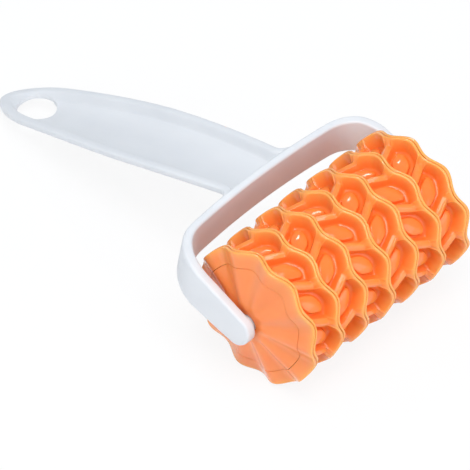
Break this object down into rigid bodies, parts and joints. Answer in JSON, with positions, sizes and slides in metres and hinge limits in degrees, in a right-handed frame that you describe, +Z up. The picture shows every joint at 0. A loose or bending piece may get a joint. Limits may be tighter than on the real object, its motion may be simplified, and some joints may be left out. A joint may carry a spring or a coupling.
{
  "type": "pastry roller",
  "caption": "Hand roller with a honeycomb-patterned barrel that spins in a one-piece fork with a flat, dished handle and a hang hole.",
  "frame": {"origin": "bottom centre of the bounding box: the worktop under the part, midway between the roller's front and the handle's tip", "axes": "+X along the roller's axis, +Y from the roller back to the handle's tip, +Z up"},
  "size_m": [0.096, 0.1762, 0.05],
  "materials": {
    "orange_shell": "glossy, slightly translucent",
    "orange_cap": "glossy, slightly translucent",
    "orange_core": "glossy, hidden inside the rings",
    "white_fork": "satin bluish white"
  },
  "bodies": {
    "frame": {"fork_and_handle": "white_fork"},
    "roller": {"core_tube": "orange_core", "pattern_ring_1": "orange_shell", "pattern_ring_2": "orange_shell", "pattern_ring_3": "orange_shell", "pattern_ring_4": "orange_shell", "pattern_ring_5": "orange_shell", "pattern_ring_6": "orange_shell", "end_ring_left": "orange_shell", "end_ring_right": "orange_shell", "end_cap_left": "orange_cap", "end_cap_right": "orange_cap"}
  },
  "joints": [
    {"name": "roller_spin", "type": "hinge", "parent": "frame", "child": "roller", "pos_m": [0, -0.06315, 0.02498], "axis": [1, 0, 0], "continuous": true}
  ]
}
